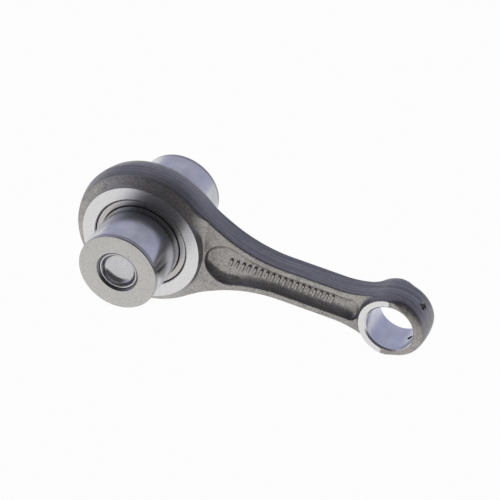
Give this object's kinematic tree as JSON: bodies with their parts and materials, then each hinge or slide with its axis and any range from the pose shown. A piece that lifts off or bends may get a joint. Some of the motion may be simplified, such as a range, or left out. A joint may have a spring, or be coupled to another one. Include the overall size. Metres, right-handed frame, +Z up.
{
  "type": "connecting rod set",
  "caption": "Forged one-piece connecting rod with an I-section beam, turning on a hollow crankpin through a caged needle-roller bearing, with a cup plug in each end of the pin.",
  "frame": {"origin": "centre of the rod's outer box, on its two planes of symmetry; the crankpin's axis crosses X at -45.75 mm and the small-end bore's axis at +62.25 mm", "axes": "+X runs along the rod to the small end, +Y runs along the crankpin and the two bores, and +Z is up across the rod's flat sides. The visible front side is the -Y side."},
  "size_m": [0.153, 0.064, 0.0616],
  "materials": {
    "forged_steel": "forged and shot-blasted steel, matte with a fine grain; machined ring faces and bores",
    "ground_steel": "ground and polished bearing steel with soft axial reflections",
    "pressed_steel": "deep-drawn steel, satin",
    "cage_steel": "silver-plated steel, satin",
    "roller_steel": "superfinished bearing steel"
  },
  "bodies": {
    "rod": {"connecting_rod": "forged_steel"},
    "crankpin": {"crankpin": "ground_steel", "plug_front": "pressed_steel", "plug_back": "pressed_steel"},
    "cage": {"bearing_cage": "cage_steel"},
    "roller_01_body": {"roller_01": "roller_steel"},
    "roller_02_body": {"roller_02": "roller_steel"},
    "roller_03_body": {"roller_03": "roller_steel"},
    "roller_04_body": {"roller_04": "roller_steel"},
    "roller_05_body": {"roller_05": "roller_steel"},
    "roller_06_body": {"roller_06": "roller_steel"},
    "roller_07_body": {"roller_07": "roller_steel"},
    "roller_08_body": {"roller_08": "roller_steel"},
    "roller_09_body": {"roller_09": "roller_steel"},
    "roller_10_body": {"roller_10": "roller_steel"},
    "roller_11_body": {"roller_11": "roller_steel"},
    "roller_12_body": {"roller_12": "roller_steel"},
    "roller_13_body": {"roller_13": "roller_steel"},
    "roller_14_body": {"roller_14": "roller_steel"},
    "roller_15_body": {"roller_15": "roller_steel"},
    "roller_16_body": {"roller_16": "roller_steel"},
    "roller_17_body": {"roller_17": "roller_steel"},
    "roller_18_body": {"roller_18": "roller_steel"}
  },
  "joints": [
    {"name": "crankpin_spin", "type": "hinge", "parent": "rod", "child": "crankpin", "pos_m": [-0.04575, 0, 0], "axis": [0, 1, 0], "continuous": true},
    {"name": "cage_spin", "type": "hinge", "parent": "rod", "child": "cage", "pos_m": [-0.04575, 0, 0], "axis": [0, 1, 0], "continuous": true},
    {"name": "roller_01_spin", "type": "hinge", "parent": "cage", "child": "roller_01_body", "pos_m": [-0.04896, 0, 0.01822], "axis": [0, 1, 0], "continuous": true},
    {"name": "roller_02_spin", "type": "hinge", "parent": "cage", "child": "roller_02_body", "pos_m": [-0.055, 0, 0.01602], "axis": [0, 1, 0], "continuous": true},
    {"name": "roller_03_spin", "type": "hinge", "parent": "cage", "child": "roller_03_body", "pos_m": [-0.05992, 0, 0.01189], "axis": [0, 1, 0], "continuous": true},
    {"name": "roller_04_spin", "type": "hinge", "parent": "cage", "child": "roller_04_body", "pos_m": [-0.06313, 0, 0.00633], "axis": [0, 1, 0], "continuous": true},
    {"name": "roller_05_spin", "type": "hinge", "parent": "cage", "child": "roller_05_body", "pos_m": [-0.06425, 0, 0], "axis": [0, 1, 0], "continuous": true},
    {"name": "roller_06_spin", "type": "hinge", "parent": "cage", "child": "roller_06_body", "pos_m": [-0.06313, 0, -0.00633], "axis": [0, 1, 0], "continuous": true},
    {"name": "roller_07_spin", "type": "hinge", "parent": "cage", "child": "roller_07_body", "pos_m": [-0.05992, 0, -0.01189], "axis": [0, 1, 0], "continuous": true},
    {"name": "roller_08_spin", "type": "hinge", "parent": "cage", "child": "roller_08_body", "pos_m": [-0.055, 0, -0.01602], "axis": [0, 1, 0], "continuous": true},
    {"name": "roller_09_spin", "type": "hinge", "parent": "cage", "child": "roller_09_body", "pos_m": [-0.04896, 0, -0.01822], "axis": [0, 1, 0], "continuous": true},
    {"name": "roller_10_spin", "type": "hinge", "parent": "cage", "child": "roller_10_body", "pos_m": [-0.04254, 0, -0.01822], "axis": [0, 1, 0], "continuous": true},
    {"name": "roller_11_spin", "type": "hinge", "parent": "cage", "child": "roller_11_body", "pos_m": [-0.0365, 0, -0.01602], "axis": [0, 1, 0], "continuous": true},
    {"name": "roller_12_spin", "type": "hinge", "parent": "cage", "child": "roller_12_body", "pos_m": [-0.03158, 0, -0.01189], "axis": [0, 1, 0], "continuous": true},
    {"name": "roller_13_spin", "type": "hinge", "parent": "cage", "child": "roller_13_body", "pos_m": [-0.02837, 0, -0.00633], "axis": [0, 1, 0], "continuous": true},
    {"name": "roller_14_spin", "type": "hinge", "parent": "cage", "child": "roller_14_body", "pos_m": [-0.02725, 0, 0], "axis": [0, 1, 0], "continuous": true},
    {"name": "roller_15_spin", "type": "hinge", "parent": "cage", "child": "roller_15_body", "pos_m": [-0.02837, 0, 0.00633], "axis": [0, 1, 0], "continuous": true},
    {"name": "roller_16_spin", "type": "hinge", "parent": "cage", "child": "roller_16_body", "pos_m": [-0.03158, 0, 0.01189], "axis": [0, 1, 0], "continuous": true},
    {"name": "roller_17_spin", "type": "hinge", "parent": "cage", "child": "roller_17_body", "pos_m": [-0.0365, 0, 0.01602], "axis": [0, 1, 0], "continuous": true},
    {"name": "roller_18_spin", "type": "hinge", "parent": "cage", "child": "roller_18_body", "pos_m": [-0.04254, 0, 0.01822], "axis": [0, 1, 0], "continuous": true}
  ],
  "couplings": [
    {"joint": "cage_spin", "follows": "crankpin_spin", "ratio": 0.45946},
    {"joint": "roller_01_spin", "follows": "crankpin_spin", "ratio": -6.1261},
    {"joint": "roller_02_spin", "follows": "crankpin_spin", "ratio": -6.1261},
    {"joint": "roller_03_spin", "follows": "crankpin_spin", "ratio": -6.1261},
    {"joint": "roller_04_spin", "follows": "crankpin_spin", "ratio": -6.1261},
    {"joint": "roller_05_spin", "follows": "crankpin_spin", "ratio": -6.1261},
    {"joint": "roller_06_spin", "follows": "crankpin_spin", "ratio": -6.1261},
    {"joint": "roller_07_spin", "follows": "crankpin_spin", "ratio": -6.1261},
    {"joint": "roller_08_spin", "follows": "crankpin_spin", "ratio": -6.1261},
    {"joint": "roller_09_spin", "follows": "crankpin_spin", "ratio": -6.1261},
    {"joint": "roller_10_spin", "follows": "crankpin_spin", "ratio": -6.1261},
    {"joint": "roller_11_spin", "follows": "crankpin_spin", "ratio": -6.1261},
    {"joint": "roller_12_spin", "follows": "crankpin_spin", "ratio": -6.1261},
    {"joint": "roller_13_spin", "follows": "crankpin_spin", "ratio": -6.1261},
    {"joint": "roller_14_spin", "follows": "crankpin_spin", "ratio": -6.1261},
    {"joint": "roller_15_spin", "follows": "crankpin_spin", "ratio": -6.1261},
    {"joint": "roller_16_spin", "follows": "crankpin_spin", "ratio": -6.1261},
    {"joint": "roller_17_spin", "follows": "crankpin_spin", "ratio": -6.1261},
    {"joint": "roller_18_spin", "follows": "crankpin_spin", "ratio": -6.1261}
  ]
}
